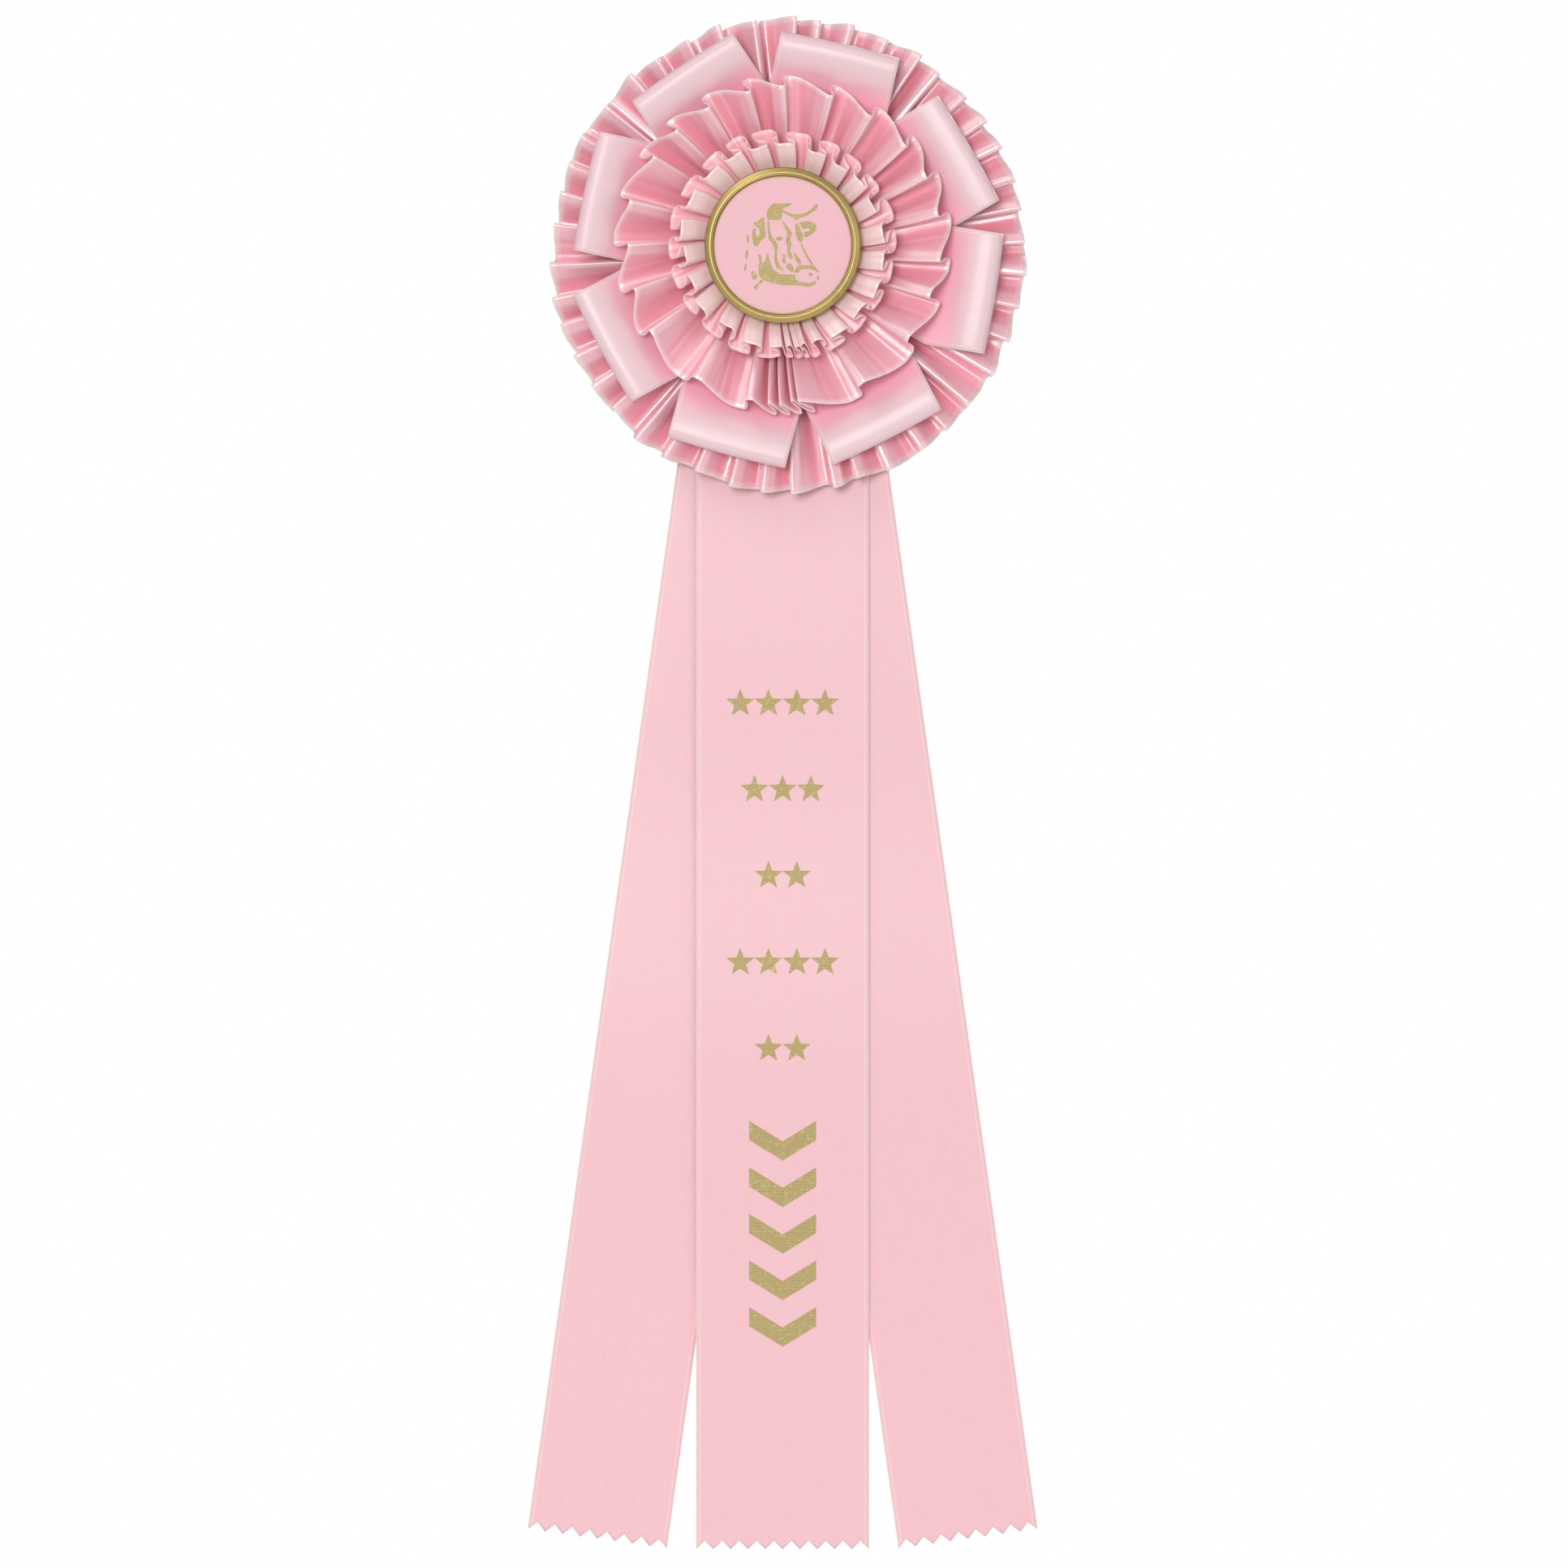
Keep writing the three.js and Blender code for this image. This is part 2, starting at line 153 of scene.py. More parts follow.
def thicken(piece, thickness):
    body = piece.modifiers.new("thickness", "SOLIDIFY")
    body.thickness = thickness * MM
    body.offset = 0


def turned(name, profile, material):
    """A ring or disc turned about the button's axis. The profile is a closed line of (radius, depth)."""
    profile = np.array(profile)
    angle = np.arange(RING_STEPS) / RING_STEPS * 2 * math.pi
    points = polar(BUTTON, angle[None, :], profile[:, :1], profile[:, 1:])
    count = len(profile)
    faces = []
    for i in range(count):
        low, high = i * RING_STEPS, (i + 1) % count * RING_STEPS
        for j in range(RING_STEPS):
            beside = (j + 1) % RING_STEPS
            faces.append((low + j, high + j, high + beside, low + beside))
    return add_mesh(name, points.reshape(-1, 3), faces, material, crease=RING_EDGE)


def foil_shapes(name, outlines, depth_at, material):
    """Thin shapes from outlines of (x, z), lying on the surface whose front is at depth_at(x, z)."""
    shapes = bmesh.new()
    for outline in outlines:
        shapes.faces.new([shapes.verts.new((x, 0, z)) for x, z in outline])
    shapes.normal_update()
    bmesh.ops.triangulate(shapes, faces=shapes.faces)
    for _ in range(FOIL_ROUNDS):
        long_edges = [edge for edge in shapes.edges if edge.calc_length() > FOIL_STEP]
        bmesh.ops.subdivide_edges(shapes, edges=long_edges, cuts=1)
        bmesh.ops.triangulate(shapes, faces=shapes.faces)
    for vertex in shapes.verts:
        vertex.co.y = -depth_at(vertex.co.x, vertex.co.z) - FOIL
        vertex.co *= MM
    mesh = bpy.data.meshes.new(name)
    shapes.to_mesh(mesh)
    shapes.free()
    mesh.materials.append(material)
    piece = put_in_scene(name, mesh)
    thicken(piece, FOIL)
    return piece


# ---------------------------------------------------------------- materials
class Shading:
    """A material's nodes, added one call at a time. Each call returns the node's output socket."""

    def __init__(self, name):
        self.material = bpy.data.materials.new(name)
        self.material.use_nodes = True
        self.tree = self.material.node_tree
        self.surface = self.tree.nodes["Principled BSDF"]

    def add(self, kind, inputs=None, output=0, **settings):
        node = self.tree.nodes.new("ShaderNode" + kind)
        for key, value in settings.items():
            setattr(node, key, value)
        for key, value in (inputs or {}).items():
            self.feed(node.inputs[key], value)
        return node.outputs[output]

    def feed(self, socket, value):
        if isinstance(value, bpy.types.NodeSocket):
            self.tree.links.new(value, socket)
        else:
            socket.default_value = value

    def math(self, operation, *values):
        return self.add("Math", dict(enumerate(values)), operation=operation)

    def ramp(self, value, low, high):
        """0 below low, 1 above high, smooth between."""
        inputs = {"Value": value, "From Min": low, "From Max": high}
        return self.add("MapRange", inputs, interpolation_type="SMOOTHSTEP")

    def mix(self, share, first, second):
        mixed = self.tree.nodes.new("ShaderNodeMix")
        mixed.data_type = "RGBA"
        self.feed(mixed.inputs["Factor"], share)
        self.feed(mixed.inputs[6], first)
        self.feed(mixed.inputs[7], second)
        return mixed.outputs[2]

    def tint(self, mask, amount, tone, other):
        """tone, mixed by that amount with the other colour where the mask is 1."""
        return self.mix(self.math("MULTIPLY", mask, amount), tone, other)

    def brick_gaps(self, place, width, height, gap, blur):
        """1 in the gaps of a wall of bricks and 0 on the bricks."""
        inputs = {
            "Vector": place,
            "Scale": 1.0,
            "Brick Width": width,
            "Row Height": height,
            "Mortar Size": gap,
            "Mortar Smooth": blur,
        }
        return self.add("TexBrick", inputs, output=1)

    def noise(self, scale, detail=2.0, vector=None, stretch=None):
        place = vector or self.add("TexCoord", output=3)
        if stretch:
            place = self.add("Mapping", {"Vector": place, "Scale": stretch})
        return self.add("TexNoise", {"Vector": place, "Scale": scale, "Detail": detail})

    def finish(self, tone, roughness, height=None, bump=0.1, distance=0.1, **fixed):
        """Feeds the shader. fixed sets the sockets that are the same all over."""
        self.feed(self.surface.inputs["Base Color"], tone)
        self.feed(self.surface.inputs["Roughness"], roughness)
        for key, value in fixed.items():
            self.surface.inputs[key.replace("_", " ")].default_value = value
        if height is not None:
            inputs = {"Height": height, "Strength": bump, "Distance": distance * MM}
            normal = self.add("Bump", inputs)
            self.tree.links.new(normal, self.surface.inputs["Normal"])
        return self.material


def colour(red, green, blue):
    """A linear colour from its sRGB values, 0 to 255."""
    shares = (red / 255, green / 255, blue / 255)
    return (*(c / 12.92 if c <= 0.04045 else ((c + 0.055) / 1.055) ** 2.4 for c in shares), 1.0)


# The satin's pinks: flat streamers, frill crests, a loop's outside (painted sheen), inner frill crests, and
# painted shade in the folds and under the middle frill.
SATIN_PLAIN = colour(233, 186, 193)
SATIN_LIGHT = colour(243, 172, 185)
SATIN_PALE = colour(228, 197, 202)
SATIN_SOFT = colour(252, 214, 214)
SATIN_DEEP = colour(255, 146, 169)
SATIN_GLOW = colour(255, 158, 178)
SATIN_ROSE = colour(255, 172, 194)
SHINE = (0.85, 1.0, 0.98, 1.0)  # pink satin's highlights look white rather than pinker
SELVEDGE = colour(250, 216, 214)
EDGE_LIGHT = colour(255, 238, 236)
FLOAT_PITCH = 0.55  # length of a satin float along the ribbon
RIB_PITCH = 0.36  # distance between weft ribs
SELVEDGE_WIDTH = 1.5
STITCH_PITCH = 0.9
STITCH_REACH = 0.35  # how far the stitches reach in from the edge
EDGE_THREAD = 0.22  # width of the pale thread along the edge


def satin(name, width, light, deep, gloss):
    """Satin ribbon of that width in mm: floats and ribs, a woven selvedge with its stitches, and painted
    shade, a deeper pink where the cloth is folded away, with a painted highlight on crisp creases. Its
    shine is drawn out across the ribbon, square to the floats."""
    s = Shading(name)
    cloth = s.add("SeparateXYZ", {"Vector": s.add("UVMap", uv_map="cloth")})
    along = s.math("MULTIPLY", cloth, 1000.0)
    across = s.math("MULTIPLY", cloth.node.outputs[1], 1000.0)
    edge = s.math("MINIMUM", across, s.math("SUBTRACT", width, across))
    measure = s.add("CombineXYZ", {"X": along, "Y": across})
    gaps = s.brick_gaps(measure, FLOAT_PITCH, RIB_PITCH, 0.05, 0.6)
    soft = s.noise(0.09, 3.0, measure, (1.0, 2.5, 1.0))
    slub = s.noise(1.3, 2.0, measure, (0.25, 3.0, 1.0))
    crush = s.noise(0.55, 2.0, measure, (1.0, 0.12, 1.0))
    band = s.math("SUBTRACT", 1.0, s.ramp(edge, SELVEDGE_WIDTH - 0.15, SELVEDGE_WIDTH + 0.15))
    groove = s.math("COMPARE", edge, SELVEDGE_WIDTH, 0.12)
    wave = s.math("SINE", s.math("MULTIPLY", along, 2 * math.pi / STITCH_PITCH))
    stitch = s.math("MULTIPLY", s.math("GREATER_THAN", wave, 0.1), s.math("LESS_THAN", edge, STITCH_REACH))
    fold = s.add("Attribute", output=2, attribute_name="fold")
    painted_crease_highlight = s.math("MAXIMUM", s.math("MULTIPLY", fold, -1.0), 0.0)
    # Where each tint lies, how strong it is, and its colour.
    tints = [
        # A painted highlight along crisp creases.
        (painted_crease_highlight, 0.7, EDGE_LIGHT),
        (s.ramp(soft, 0.35, 0.75), 0.06, SATIN_DEEP),
        (s.ramp(slub, 0.4, 0.8), 0.14, SELVEDGE),
        (gaps, 0.08, SATIN_DEEP),
        (band, 0.3, SELVEDGE),
        (groove, 0.2, SATIN_DEEP),
        (s.math("LESS_THAN", edge, EDGE_THREAD), 0.5, EDGE_LIGHT),
        (stitch, 0.35, EDGE_LIGHT),
    ]
    # Painted shade: the colour deepens from light to deep as fold rises, in the valleys and where a loop
    # runs under the middle frill.
    tone = s.mix(s.math("MAXIMUM", fold, 0.0), light, deep)
    for mask, amount, other in tints:
        tone = s.tint(mask, amount, tone, other)
    height = s.math("SUBTRACT", s.math("MULTIPLY", slub, 0.5), s.math("MULTIPLY", gaps, 0.4))
    height = s.math("SUBTRACT", height, s.math("MULTIPLY", groove, 0.6))
    height = s.math("ADD", height, s.math("MULTIPLY", crush, gloss))
    rough = s.math("ADD", 0.36 - 0.1 * gloss, s.math("MULTIPLY", slub, 0.14))
    tangent = s.add("Tangent", direction_type="UV_MAP", uv_map="cloth")
    s.tree.links.new(tangent, s.surface.inputs["Tangent"])
    return s.finish(
        tone,
        rough,
        height,
        bump=0.35,
        distance=0.12,
        IOR=1.5 + 0.6 * gloss,
        Specular_IOR_Level=0.5 + 0.5 * gloss,
        Specular_Tint=SHINE,
        Anisotropic=0.8,
        Anisotropic_Rotation=0.25,
    )


def foil(name):
    """Hot-stamped gold foil: the weave underneath shows through it as rows of small dots."""
    s = Shading(name)
    place = s.add("TexCoord", output=3)
    turn = s.add("SeparateXYZ", {"Vector": place})
    right = s.math("MULTIPLY", turn, 1000.0)
    up = s.math("MULTIPLY", turn.node.outputs[2], 1000.0)
    dots = s.brick_gaps(s.add("CombineXYZ", {"X": right, "Y": up}), 0.72, 0.52, 0.13, 0.8)
    blotch = s.noise(900.0, 2.0)
    tone = s.tint(dots, 0.8, colour(182, 164, 110), colour(124, 106, 58))
    tone = s.mix(s.ramp(blotch, 0.5, 0.85), tone, colour(192, 176, 124))
    height = s.math("SUBTRACT", s.math("MULTIPLY", blotch, 0.4), dots)
    return s.finish(tone, 0.5, height, bump=0.3, distance=0.05, Metallic=0.35, Specular_IOR_Level=0.5)


def brass(name):
    """Antiqued brass: brushed round the rim, with patina in the recess by the face and painted shade along
    its outer edge.
    """
    s = Shading(name)
    place = s.add("SeparateXYZ", {"Vector": s.add("TexCoord", output=3)})
    flat = s.add("CombineXYZ", {"X": place, "Y": place.node.outputs[2]})
    reach = s.math("MULTIPLY", s.add("VectorMath", {0: flat}, output=1, operation="LENGTH"), 1000.0)
    turn = s.math("ARCTAN2", place, place.node.outputs[2])
    brushed = s.noise(1.0, 4.0, s.add("CombineXYZ", {"X": reach, "Y": turn}), (9.0, 1.5, 1.0))
    patina = s.noise(260.0, 4.0)
    # Darker near both edges: patina in the recess by the face, and painted shade along the outer edge where
    # the rim meets the frill.
    inner = s.math("SUBTRACT", 1.0, s.ramp(reach, SHELL_INNER + 0.05, SHELL_INNER + 0.45))
    outer = s.ramp(reach, SHELL_RADIUS - 0.35, SHELL_RADIUS)
    dark = s.math("MAXIMUM", inner, outer)
    tone = s.mix(brushed, colour(199, 174, 114), colour(177, 153, 92))
    tone = s.tint(s.ramp(patina, 0.5, 0.75), 0.35, tone, colour(136, 112, 62))
    tone = s.tint(dark, 0.6, tone, colour(92, 68, 38))
    rough = s.math("ADD", 0.32, s.math("MULTIPLY", brushed, 0.14))
    return s.finish(tone, rough, brushed, bump=0.08, distance=0.05, Metallic=0.85)


def printed_disc(name):
    """The button's face: satin-look film printed the ribbon's pink."""
    s = Shading(name)
    weave = s.noise(2600.0, 2.0, stretch=(1.0, 1.0, 4.0))
    cloud = s.noise(90.0, 2.0)
    tone = s.tint(weave, 0.3, colour(222, 168, 176), colour(228, 184, 190))
    tone = s.tint(cloud, 0.12, tone, colour(236, 164, 178))
    return s.finish(tone, 0.42, weave, bump=0.06, distance=0.04, Specular_IOR_Level=0.5, Coat_Weight=0.06)


def card(name, base):
    """Pressed card: fibres, flecks and a slightly uneven face."""
    s = Shading(name)
    fibre = s.noise(700.0, 5.0, stretch=(1.0, 1.0, 3.0))
    fleck = s.noise(2200.0, 1.0)
    cloud = s.noise(60.0, 3.0)
    tone = s.tint(fibre, 0.35, base, colour(206, 198, 184))
    tone = s.tint(s.ramp(fleck, 0.66, 0.72), 0.4, tone, colour(168, 156, 138))
    tone = s.tint(cloud, 0.15, tone, colour(214, 206, 190))
    return s.finish(tone, 0.82, fibre, bump=0.25, distance=0.08, Specular_IOR_Level=0.3)


def steel(name, light, dark, rough=0.28):
    """Plated steel with draw lines, faint stains and wear."""
    s = Shading(name)
    lines = s.noise(1500.0, 3.0, stretch=(0.08, 1.0, 1.0))
    stain = s.noise(240.0, 4.0)
    tone = s.mix(s.ramp(stain, 0.45, 0.8), light, dark)
    roughness = s.math("ADD", rough, s.math("MULTIPLY", stain, 0.16))
    return s.finish(tone, roughness, lines, bump=0.06, distance=0.03, Metallic=1.0, Anisotropic=0.3)


# ---------------------------------------------------------------- dimensions
FOIL = 0.04  # thickness of the foil
FOIL_STEP = 2.5  # edges longer than this are split, so that the foil follows the cloth under it
FOIL_ROUNDS = 3  # how many times they are split
BUTTON = (0.0, 0.0)
OUTER_CENTRE = (1.7, -2.4)  # the outer frill and the loops sit a little right of and below the button
SHELL_RADIUS = 22.9
SHELL_INNER = 20.25
INSERT_FRONT = 28.6
LOOP_WIDTH = 35.6
SIDE_WIDTH = 41.3
CENTRE_WIDTH = 50.8

MATERIALS = {
    "outer": satin("outer_satin", 39.0, SATIN_LIGHT, SATIN_DEEP, 1.0),
    "loop": satin("loop_satin", LOOP_WIDTH, SATIN_PALE, SATIN_ROSE, 0.3),
    "middle": satin("middle_satin", 33.6, SATIN_LIGHT, SATIN_GLOW, 1.0),
    "inner": satin("inner_satin", 17.7, SATIN_SOFT, SATIN_DEEP, 0.6),
    "side": satin("side_streamer_satin", SIDE_WIDTH, SATIN_PLAIN, SATIN_PLAIN, 0.1),
    "centre": satin("centre_streamer_satin", CENTRE_WIDTH, SATIN_PLAIN, SATIN_PLAIN, 0.1),
    "foil": foil("gold_foil"),
    "brass": brass("antique_brass"),
    "disc": printed_disc("printed_disc"),
    "card": card("cardboard", colour(236, 230, 218)),
    "steel": steel("nickel_steel", colour(206, 204, 198), colour(160, 156, 148)),
    "plate": steel("pin_plate_steel", colour(200, 198, 192), colour(150, 146, 138), 0.36),
    "wire": steel("staple_wire", colour(190, 188, 184), colour(138, 134, 128), 0.34),
    "prongs": steel("prong_steel", colour(190, 170, 120), colour(130, 108, 66), 0.36),
}


# ---------------------------------------------------------------- frills
SECTION_STEPS = 180  # steps of cloth that a pleat's section is worked out in
STEEPEST = 0.96 * math.pi  # the most that the cloth may turn in a fold
SLOPES = 96  # slopes that are tried, from flat to the steepest
CRISP = 0.45  # length of a front panel's clockwise fold, as a share of the plain one
OPEN = 1.5  # the same for its other fold
CREASE = 0.014  # width of a crease's painted highlight, as a share of the pleat's cloth
RIPPLES = (3.1, 4.7, 7.3)  # lengths of the small ridges that run across the ribbon
RIPPLE = 0.34  # height of the small ridges at the free edge
VALLEY_CURVE = 1.4  # how late the painted shade, a deeper pink, sets in on the way down into a valley
VALLEY_FADE = 0.45  # how much of it is lost at the free edge


def turning(front, back, soften):
    """Which way the cloth runs through one pleat, from one front panel's middle to the next: 0 on the
    panels, -1 where it folds back and +1 where it comes forward again. The clockwise fold of a front
    panel is crisp and the other one is open."""
    place = (np.arange(SECTION_STEPS) + 0.5) / SECTION_STEPS
    side = (1 - front - back) / 2
    bends = [
        (front / 2, -1, CRISP),
        (front / 2 + side, 1, 1.0),
        (1 - front / 2 - side, 1, OPEN),
        (1 - front / 2, -1, OPEN),
    ]
    heading = np.zeros(SECTION_STEPS)
    for pleat in (-1, 0, 1):
        for bend, sign, ease in bends:
            heading += sign * smooth((place - bend - pleat) / (soften * ease) + 0.5)
    return heading


def pleat_section(squeeze, front, back, slant, soften, samples):
    """Sections of pleats that span squeeze times their cloth: how far along each sample is, 0 to 1,
    its height, 1 on the front panel and -1 on the back one, and 1 where it lies on the crisp crease.
    slant raises the panels' clockwise ends."""
    turn = turning(front, back, soften)
    angles = np.linspace(0, STEEPEST, SLOPES)
    spans = np.cos(angles[:, None] * turn).mean(axis=1)
    steepest = np.interp(squeeze, spans[::-1], angles[::-1])
    heading = steepest[:, None] * turn
    start = np.zeros((len(squeeze), 1))
    run = np.hstack([start, np.cumsum(np.cos(heading), axis=1)])
    rise = np.hstack([start, np.cumsum(np.sin(heading), axis=1)])
    place = np.linspace(0, 1, SECTION_STEPS + 1)
    rise -= rise[:, -1:] * place  # each pleat ends as high as it began
    rise += slant * SECTION_STEPS * (run / run[:, -1:] - place)
    top, bottom = rise.max(axis=1, keepdims=True), rise.min(axis=1, keepdims=True)
    picked = np.round(np.arange(samples) * SECTION_STEPS / samples).astype(int)
    height = 2 * (rise - bottom) / (top - bottom) - 1
    crease = np.exp(-(((place[picked] - front / 2) / CREASE) ** 2))
    return (run / run[:, -1:])[:, picked], height[:, picked], crease


def frill(layer, centre, rows, cloth, shares, panels, seed, samples=40, row_count=22, start=0.0,
          lean=0.0, sweep=0.0, scallop=0.0, jitter=0.12):
    """A ribbon pleated into a ring.

    rows: (radius, depth, half wave, softness of the folds) from the stitched edge to the free one.
    cloth: mm of ribbon in a plain pleat. shares: each pleat's shares of the turn and of the cloth.
    panels: how much of a pleat is its front and its back panel, and their slant.
    start: clockwise angle of the first pleat.
    lean: how far front panels lie clockwise of the back ones, per mm of wave. sweep: how far the pleats
    twist, in degrees, from the free edge to the stitched one. scallop: how far the free edge's crests
    stand out, in mm. jitter: how much the pleats' widths vary."""
    random = np.random.default_rng(seed)
    widths, lengths = np.array(shares).T
    count = len(widths)
    widths = widths * (1 + jitter * random.uniform(-1, 1, count))
    widths = widths / widths.sum() * 2 * math.pi
    starts = math.radians(start) + np.cumsum(widths) - widths
    blend = smooth(np.arange(samples) / samples)

    def varied(spread):
        """A random value for each pleat, blended smoothly from pleat to pleat round the ring."""
        values = random.uniform(-spread, spread, count)
        return (values[:, None] * (1 - blend) + np.roll(values, -1)[:, None] * blend).ravel()

    swell, tilt = 1 + varied(0.16), lean * (1 + varied(0.5))
    reach, lift, sway, uneven = varied(0.7), varied(0.7), varied(0.7), 1 + varied(1.0)
    along = np.concatenate([[0], np.cumsum(np.repeat(lengths * cloth / samples, samples))])
    ripple = np.zeros(count * samples)
    for length in RIPPLES:
        cycles = round(along[-1] / length)
        ripple += np.sin(2 * math.pi * cycles * along[:-1] / along[-1] + random.uniform(0, 2 * math.pi))
    line = spline(rows, row_count)
    slope = np.gradient(line[:, :2], axis=0)
    slope /= np.linalg.norm(slope, axis=1, keepdims=True)
    grid, folds = [], []
    row_shares = np.linspace(0, 1, row_count)
    for (radius, depth, half, soften), (out, up), share in zip(line, slope, row_shares):
        squeeze = widths * radius / (cloth * lengths)
        run, height, crease = pleat_section(squeeze, *panels, soften, samples)
        height = height.ravel()
        wave = half * swell * height + RIPPLE * share * ripple / len(RIPPLES)
        angle = (starts[:, None] + widths[:, None] * run).ravel() + math.radians(sweep) * (1 - share)
        angle += (tilt * wave + sway * share) / radius
        ring = radius + (reach * out + scallop * uneven * height) * share**2 - up * wave
        forward = depth + (reach * up + lift) * share**2 + out * wave
        grid.append(polar(centre, angle, ring, forward))
        # Painted shade deepens down into the valleys, and a crisp crease carries a painted highlight.
        valley = smooth(0.5 - 0.5 * height) ** VALLEY_CURVE * (1 - VALLEY_FADE * share)
        painted_crease_highlight = np.tile(crease, count)
        folds.append(valley * (1 - painted_crease_highlight) - painted_crease_highlight)
    across = run_length(line)
    piece = cloth_piece(
        f"{layer}_frill_satin",
        np.array(grid),
        np.ones((row_count, 1)) * along,
        across[:, None] * np.ones(count * samples),
        np.array(folds),
        MATERIALS[layer],
        closed=True,
    )
    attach(piece, "rosette")
    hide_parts(f"{layer}_frill")


# Shares of the turn and of the cloth for the kinds of pleat.
PLAIN = [(1.0, 1.0)]
WIDE = [(1.47, 1.3)]
TIGHT = [(0.3, 0.42)]


def build_frills():
    frill(
        "outer",
        OUTER_CENTRE,
        rows=[
            (30, 7.9, 0.8, 0.14),
            (45, 8.4, 1.4, 0.22),
            (58, 9.0, 2.1, 0.3),
            (69.4, 9.6, 2.8, 0.4),
        ],
        cloth=14.6,
        shares=PLAIN * 44,
        panels=(0.18, 0.2, 0.05),
        seed=3,
        row_count=24,
        lean=0.35,
        scallop=0.55,
        jitter=0.2,
    )
    frill(
        "middle",
        BUTTON,
        rows=[
            (16, 10.7, 0.5, 0.08),
            (24, 12.6, 1.1, 0.12),
            (36, 16.8, 2.6, 0.28),
            (47.9, 21.5, 3.9, 0.46),
        ],
        cloth=22.0,
        shares=PLAIN * 8 + WIDE * 2 + TIGHT * 4 + WIDE * 2 + PLAIN * 8,
        panels=(0.1, 0.2, 0.1),
        seed=7,
        row_count=26,
        start=-2,
        lean=0.45,
        sweep=3.0,
        scallop=-0.3,
    )
    frill(
        "inner",
        BUTTON,
        rows=[
            (16.5, 17.4, 0.5, 0.04),
            (19.2, 20, 0.9, 0.05),
            (24, 22.2, 1.7, 0.09),
            (31.6, 25.6, 3.2, 0.16),
        ],
        cloth=22.0,
        shares=PLAIN * 11 + TIGHT * 4 + PLAIN * 10,
        panels=(0.33, 0.36, 0.02),
        seed=12,
        row_count=18,
        start=-15,
        lean=0.25,
        sweep=5.0,
        scallop=-0.8,
        jitter=0.08,
    )


# ---------------------------------------------------------------- loops
LOOP_WEDGE = math.tan(math.radians(22.3))  # the loops narrow to this where they meet under the frill
LOOP_BACK = [(19, 6.75), (24, 6.9), (30, 9.4), (45, 11.0), (57.5, 12.2)]
LOOP_FRONT = [(56.5, 17.0), (53, 16.3), (48, 14.4), (42, 12.9), (34, 11.9), (24, 7.8), (19, 7.5)]
LOOP_FOLD = (58.6, 14.65)  # middle of the fold
LOOP_FOLD_RADIUS = 2.45
LOOP_POINTS = 84
LOOP_COLUMNS = 25
LOOP_STACK = 0.35
# Each fold's clockwise angle, how far out it reaches, and how many degrees the loop is turned.
LOOPS = [
    (14.0, 63.2, -1.2),
    (59.5, 61.4, 0.1),
    (101.0, 61.4, -1.8),
    (151.6, 61.1, 1.3),
    (197.4, 61.0, -2.4),
    (243.1, 61.3, -1.6),
    (287.4, 62.2, -5.3),
    (330.4, 63.2, -4.5),
]


def build_loop(number, azimuth, reach, twist):
    """One ribbon laid out from the centre, folded over and brought back."""
    random = np.random.default_rng(40 + number)
    fold = arc(LOOP_FOLD, LOOP_FOLD_RADIUS, -75, 75, 9)
    path = spline(LOOP_BACK + fold + LOOP_FRONT, LOOP_POINTS)
    stretch = smooth((path[:, :1] - 30) / 20) * (reach - LOOP_FOLD[0] - LOOP_FOLD_RADIUS)
    side = np.linspace(-1, 1, LOOP_COLUMNS)
    half = np.minimum(LOOP_WIDTH / 2, path[:, :1] * LOOP_WEDGE)
    offset = half * side
    front = smooth((path[:, 1:] - 12.0) / 4.0) * smooth((path[:, :1] - 26) / 16)
    puff = random.uniform(0.5, 0.9) * (1 - side**2) + random.uniform(-0.5, 0.5) * side
    # Every other loop lies over its neighbours near the middle.
    stack = LOOP_STACK * (number % 2) * smooth((52 - path[:, :1]) / 8)
    ridges = np.sin(path[:, :1] / 0.9 + random.uniform(0, 6)) + np.sin(path[:, :1] / 0.5 + 0.6 * side)
    ridges = 0.02 * ridges + 0.12 * np.sin(side * 3 + random.uniform(0, 6))
    depth = path[:, 1:] + stack + front * (puff + ridges)
    bow = 0.5 * (1 - side**2) * smooth((path[:, :1] - 40) / 20)
    out = path[:, :1] + stretch + bow - reach
    turn = math.radians(twist) * smooth((path[:, :1] - 25) / 20)
    axis = math.radians(azimuth) + turn
    middle = math.radians(azimuth)
    x = OUTER_CENTRE[0] + reach * np.sin(middle) + out * np.sin(axis) + offset * np.cos(axis)
    z = OUTER_CENTRE[1] + reach * np.cos(middle) + out * np.cos(axis) - offset * np.sin(axis)
    points = np.stack(np.broadcast_arrays(x, -depth, z), axis=-1) * MM
    length = run_length(path)
    # Rows run across the ribbon and columns along it, so that the cloth's own measures match a frill's.
    points = points.transpose(1, 0, 2)[::-1]
    across = (side[:, None] + 1) / 2 * LOOP_WIDTH * np.ones(len(path))
    along = np.ones((len(side), 1)) * length
    # Painted sheen on a loop's outer part, deepening to painted shade towards the middle frill.
    painted_sheen_to_shade = smooth((55 - path[:, 0]) / 10) * np.ones((len(side), 1))
    name = f"ribbon_loop_{number}"
    piece = cloth_piece(name, points, along, across, painted_sheen_to_shade, MATERIALS["loop"])
    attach(piece, "rosette")
    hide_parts(f"loop_{number}")


# ---------------------------------------------------------------- streamers
HINGE = -75.5  # height of the line where the hanging cloth starts to swing
TAB_TOP = 22.0
SIDE_TILT = math.radians(8.0)
SIDE_SHIFT = 1.1
SIDE_LENGTH = 383.6
TOOTH = 2.5
TOOTH_STEPS = 4  # columns of cloth to each tooth
PINKED = 12.0  # length of cloth above the tips where the rows start to follow the teeth
CENTRE_DEPTH = 3.4  # middle of the centre streamer's cloth
